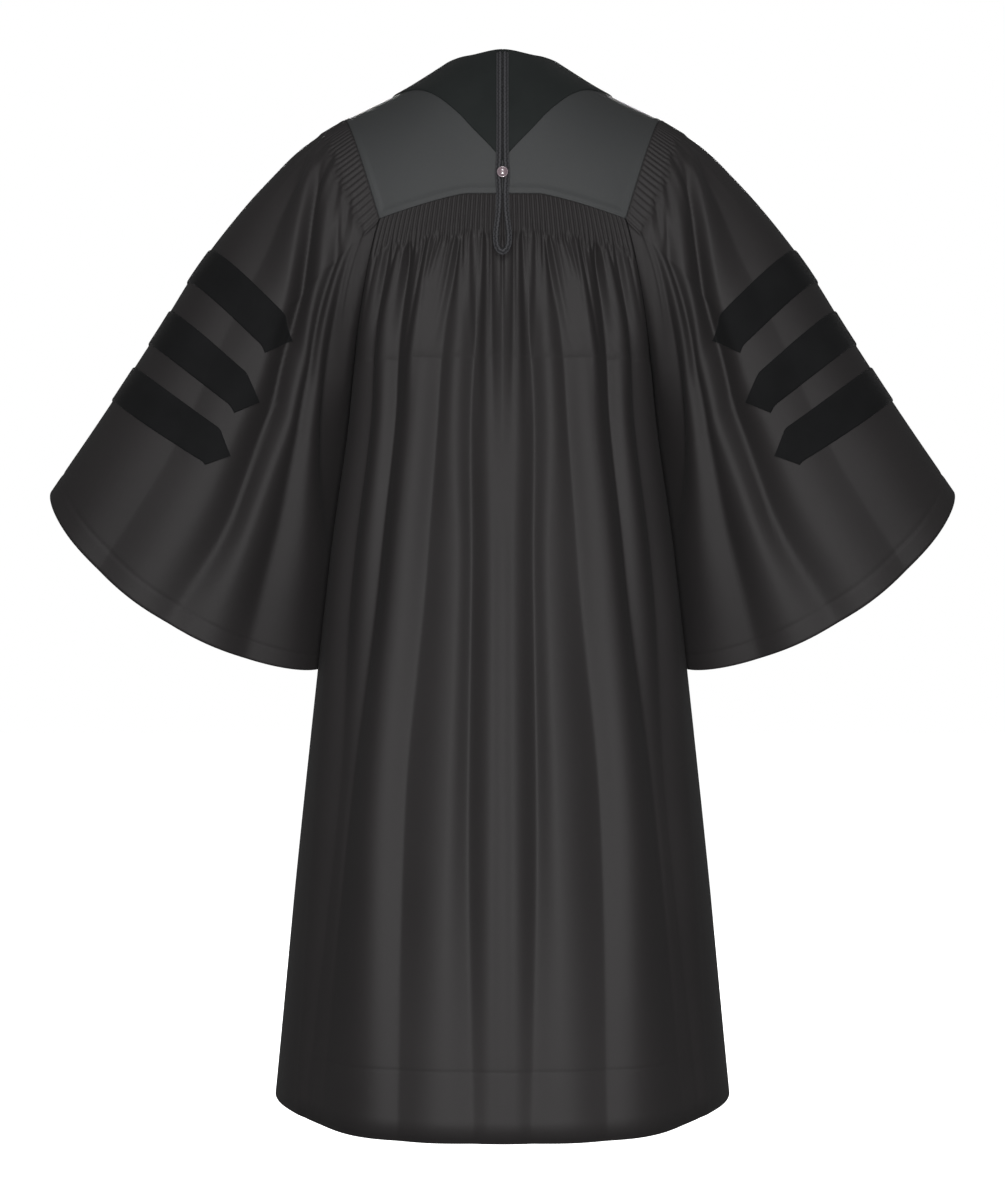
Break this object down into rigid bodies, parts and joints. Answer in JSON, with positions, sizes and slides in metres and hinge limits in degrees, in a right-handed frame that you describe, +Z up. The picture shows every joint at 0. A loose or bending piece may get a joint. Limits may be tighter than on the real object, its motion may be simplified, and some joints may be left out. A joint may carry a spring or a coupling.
{
  "type": "doctoral graduation gown",
  "caption": "Full-length doctoral gown with bell sleeves, a smooth yoke, a fluted back, velvet facings, velvet sleeve bars and a buttoned hood cord.",
  "frame": {"origin": "between the shoulders, inside the yoke, where the gown is held up", "axes": "+Z up, +Y the way the wearer faces, +X to the wearer's right"},
  "size_m": [1.1822, 0.4818, 1.3715],
  "materials": {
    "gown_cloth": "black woven polyester, soft sheen",
    "velvet": "black velvet",
    "braid": "dark grey braided cord",
    "button": "pearly mauve-grey, polished"
  },
  "bodies": {
    "root": {"yoke": "gown_cloth", "back": "gown_cloth", "front_left": "gown_cloth", "front_right": "gown_cloth", "sleeve_left": "gown_cloth", "sleeve_right": "gown_cloth", "velvet_left": "velvet", "velvet_right": "velvet", "bar_left_1": "velvet", "bar_left_2": "velvet", "bar_left_3": "velvet", "bar_right_1": "velvet", "bar_right_2": "velvet", "bar_right_3": "velvet", "hood_cord": "braid", "button": "button"}
  },
  "joints": []
}
